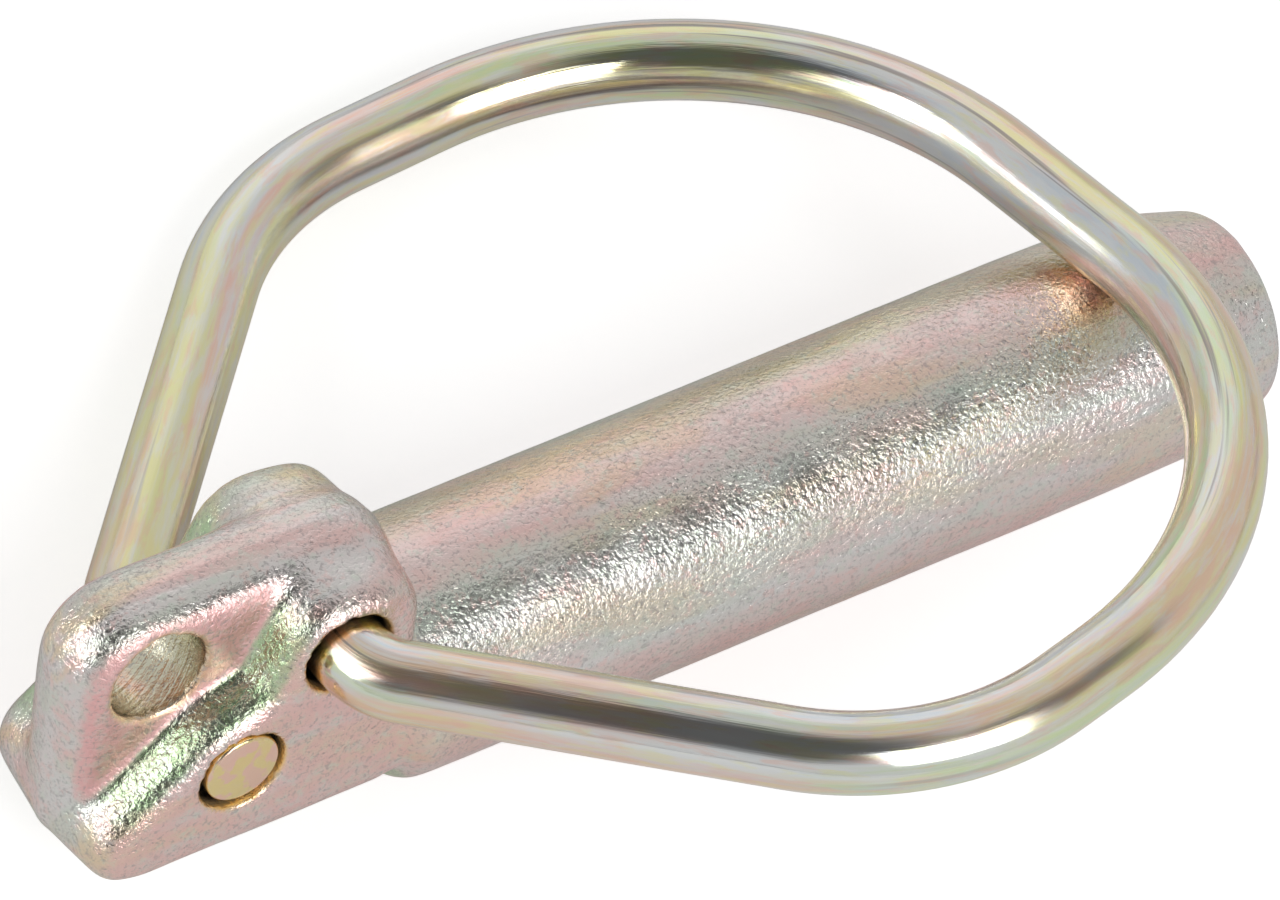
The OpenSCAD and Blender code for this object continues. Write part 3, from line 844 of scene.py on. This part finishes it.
def build_ring(sizes):
    runs = ring_runs(sizes)
    first = (runs[0][2] - runs[0][1]).normalized()
    clear_selection()
    bpy.ops.mesh.primitive_circle_add(
        vertices=sizes.sides, radius=sizes.wire / 2, location=runs[0][1],
        rotation=first.to_track_quat("Z", "Y").to_euler())
    piece = bpy.context.object
    piece.name = piece.data.name = "ring_wire"
    bpy.ops.object.transform_apply(location=True, rotation=True, scale=True)
    bpy.ops.object.mode_set(mode="EDIT")
    bpy.ops.mesh.select_mode(type="VERT")
    bpy.ops.mesh.select_all(action="SELECT")
    for run in runs:
        if run[0] == "run":
            steps = max(1, round((run[2] - run[1]).length / sizes.pitch))
            for _ in range(steps):
                bpy.ops.mesh.extrude_region_move(TRANSFORM_OT_translate={"value": (run[2] - run[1]) / steps})
            reached = run[2]
        else:
            _, centre, axis, turned, _, reached = run
            steps = max(3, round(turned / sizes.step))
            bpy.ops.mesh.spin(steps=steps, angle=-turned, center=centre, axis=axis)
        missed = (selected_middle(piece) - reached).length
        if missed > STRAY_MIDDLE:
            raise RuntimeError(f"the wire strayed {missed / MM:.3f} mm from its route")

    # Both cut ends are closed and lose their sharp edge.
    bpy.ops.mesh.select_all(action="DESELECT")
    bpy.ops.mesh.select_non_manifold()
    bpy.ops.mesh.edge_face_add()
    bpy.ops.object.mode_set(mode="OBJECT")
    for polygon in piece.data.polygons:
        polygon.select = len(polygon.vertices) == sizes.sides
    bpy.ops.object.mode_set(mode="EDIT")
    bpy.ops.mesh.select_mode(type="FACE")
    bpy.ops.mesh.region_to_loop()
    bpy.ops.mesh.bevel(offset=sizes.end_bevel, segments=3, affect="EDGES")
    bpy.ops.mesh.select_all(action="SELECT")
    bpy.ops.mesh.remove_doubles(threshold=0.0005 * MM)
    bpy.ops.mesh.normals_make_consistent(inside=False)
    bpy.ops.object.mode_set(mode="OBJECT")

    line, travelled = centre_line(runs)
    straight = unrolled(points_of(piece), line, travelled)
    attribute = piece.data.attributes.new("unrolled", "FLOAT_VECTOR", "POINT")
    attribute.data.foreach_set("vector", straight.astype(np.float32).ravel())
    from_end = np.minimum(straight[:, 0], travelled[-1] - straight[:, 0])
    write_mask(piece, "cut_end", 1 - smoothstep(0.0, sizes.end_bevel, from_end))

    piece.data.materials.append(ring_material(sizes, float(travelled[-1])))
    make_active(piece)
    bpy.ops.object.shade_smooth_by_angle(angle=math.radians(32))
    clear_selection()

    corners = np.array([list(corner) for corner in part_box("spring_ring")])
    mesh_points = points_of(piece)
    stray = np.abs(np.array([mesh_points.min(0), mesh_points.max(0)]) - corners).max()
    if stray > STRAY_BOX:
        raise RuntimeError(f"the ring is {stray / MM:.3f} mm away from the packed ring's box")
    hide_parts("spring_ring")
    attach(piece, "ring")


# ---- Studio ----

def build_floor(settings):
    clear_selection()
    bpy.ops.mesh.primitive_plane_add(size=settings.floor_size, location=(0, 0, cad_box[0].z))
    floor = bpy.context.object
    floor.name = "studio_floor"
    material, nodes = new_material("Studio paper")
    tooth = nodes.noise(nodes.add("ShaderNodeTexCoord").outputs["Object"], 900.0, detail=3.0)
    bump = nodes.add("ShaderNodeBump", {"Height": tooth, "Distance": 0.02 * MM, "Strength": 0.3})
    paper = nodes.add("ShaderNodeBsdfPrincipled", {
        "Base Color": settings.floor, "Roughness": 0.9, "Normal": bump.outputs["Normal"]})
    paper.inputs["Specular IOR Level"].default_value = 0.1
    lift = nodes.add("ShaderNodeEmission", {"Color": (1.0, 1.0, 1.0), "Strength": settings.floor_lift})
    seen = nodes.add("ShaderNodeLightPath").outputs["Is Camera Ray"]
    dark = nodes.add("ShaderNodeEmission", {"Color": (0.0, 0.0, 0.0), "Strength": 0.0})
    lifted = nodes.add("ShaderNodeMixShader", {0: seen, 1: dark.outputs[0], 2: lift.outputs[0]})
    both = nodes.add("ShaderNodeAddShader", {0: paper.outputs["BSDF"], 1: lifted.outputs[0]})
    output = nodes.add("ShaderNodeOutputMaterial")
    nodes.tree.links.new(both.outputs[0], output.inputs["Surface"])
    floor.data.materials.append(material)


def build_tent(settings):
    """The world: an evenly lit tent with a brighter stretch, an unlit side and an unlit slit."""
    world = bpy.data.worlds.new("Light tent")
    bpy.context.scene.world = world
    world.use_nodes = True
    world.node_tree.nodes.clear()
    nodes = Nodes(world.node_tree)
    direction = nodes.add("ShaderNodeTexCoord").outputs["Generated"]
    cloth = settings.tent
    for name in ("glow", "gap", "slit"):
        patch, azimuth, elevation, inner, outer = (
            getattr(settings, name + part) for part in ("", "_azimuth", "_elevation", "_inner", "_outer"))
        facing = nodes.vector("DOT_PRODUCT", direction, towards(azimuth, elevation), "Value")
        cloth = nodes.mixed(nodes.ranged(facing, math.cos(outer), math.cos(inner)), cloth, patch)
    light = nodes.add("ShaderNodeBackground", {"Color": cloth})
    output = nodes.add("ShaderNodeOutputWorld")
    world.node_tree.links.new(light.outputs[0], output.inputs["Surface"])


def build_softbox(name, azimuth, elevation, size, radiance, distance, aim):
    direction = towards(azimuth, elevation)
    turned = direction.to_track_quat("Z", "Y").to_euler()
    clear_selection()
    bpy.ops.object.light_add(type="AREA", location=aim + direction * distance, rotation=turned)
    lamp = bpy.context.object
    lamp.name = name
    lamp.data.shape = "SQUARE"
    lamp.data.size = size
    lamp.data.energy = radiance * math.pi * size * size
    lamp.visible_camera = False


def build_camera(settings):
    back = towards(settings.view_azimuth, settings.view_elevation)
    aim = Vector((settings.aim_x, settings.aim_y, settings.aim_z))
    upright = back.to_track_quat("Z", "Y").to_matrix()
    turned = Matrix.Rotation(settings.view_roll, 3, back) @ upright
    clear_selection()
    bpy.ops.object.camera_add(location=aim + back * settings.view_distance, rotation=turned.to_euler())
    camera = bpy.context.object
    camera.name = "studio_camera"
    camera.data.lens = settings.lens
    camera.data.sensor_width = SENSOR_WIDTH
    camera.data.clip_start = 0.01
    camera.data.clip_end = 100.0
    bpy.context.scene.camera = camera


def build_studio(settings):
    build_floor(settings)
    build_tent(settings)
    aim = (cad_box[0] + cad_box[1]) / 2
    build_softbox("key_softbox", settings.key_azimuth, settings.key_elevation,
                  settings.key_size, settings.key_radiance, settings.light_distance, aim)
    build_softbox("rim_softbox", settings.rim_azimuth, settings.rim_elevation,
                  settings.rim_size, settings.rim_radiance, settings.light_distance, aim)
    build_camera(settings)
    bpy.context.scene.view_settings.view_transform = "Standard"


# ---- Operators and panel ----

class LYNCHPIN_OT_forging(bpy.types.Operator):
    """Build the forged pin: shank, head, cheeks and holes"""
    bl_idname = "lynch_pin.forging"
    bl_label = "Forged Pin"

    def execute(self, context):
        build_forging(context.scene.lynch_pin_forging)
        return {"FINISHED"}


class LYNCHPIN_OT_ring(bpy.types.Operator):
    """Build the sprung wire ring"""
    bl_idname = "lynch_pin.ring"
    bl_label = "Spring Ring"

    def execute(self, context):
        build_ring(context.scene.lynch_pin_ring)
        return {"FINISHED"}


class LYNCHPIN_OT_studio(bpy.types.Operator):
    """Build the floor, the light tent, the softboxes and the camera"""
    bl_idname = "lynch_pin.studio"
    bl_label = "Studio"

    def execute(self, context):
        build_studio(context.scene.lynch_pin_studio)
        return {"FINISHED"}


class LYNCHPIN_PT_sidebar(bpy.types.Panel):
    """Lists the pieces and their sizes"""
    bl_idname = "LYNCHPIN_PT_sidebar"
    bl_label = "Lynch Pin"
    bl_space_type = "VIEW_3D"
    bl_region_type = "UI"
    bl_category = "Lynch Pin"

    def draw(self, context):
        for operator, settings in (
                (LYNCHPIN_OT_forging, context.scene.lynch_pin_forging),
                (LYNCHPIN_OT_ring, context.scene.lynch_pin_ring),
                (LYNCHPIN_OT_studio, context.scene.lynch_pin_studio)):
            box = self.layout.box()
            box.operator(operator.bl_idname)
            for name in settings.__annotations__:
                box.prop(settings, name)


CLASSES = (
    LynchPinForging, LynchPinRing, LynchPinStudio,
    LYNCHPIN_OT_forging, LYNCHPIN_OT_ring, LYNCHPIN_OT_studio, LYNCHPIN_PT_sidebar)


def register():
    for cls in CLASSES:
        bpy.utils.register_class(cls)
    bpy.types.Scene.lynch_pin_forging = bpy.props.PointerProperty(type=LynchPinForging)
    bpy.types.Scene.lynch_pin_ring = bpy.props.PointerProperty(type=LynchPinRing)
    bpy.types.Scene.lynch_pin_studio = bpy.props.PointerProperty(type=LynchPinStudio)


def unregister():
    del bpy.types.Scene.lynch_pin_studio
    del bpy.types.Scene.lynch_pin_ring
    del bpy.types.Scene.lynch_pin_forging
    for cls in reversed(CLASSES):
        bpy.utils.unregister_class(cls)


def main():
    register()
    bpy.ops.lynch_pin.forging()
    bpy.ops.lynch_pin.ring()
    bpy.ops.lynch_pin.studio()


if __name__ == "__main__":
    main()
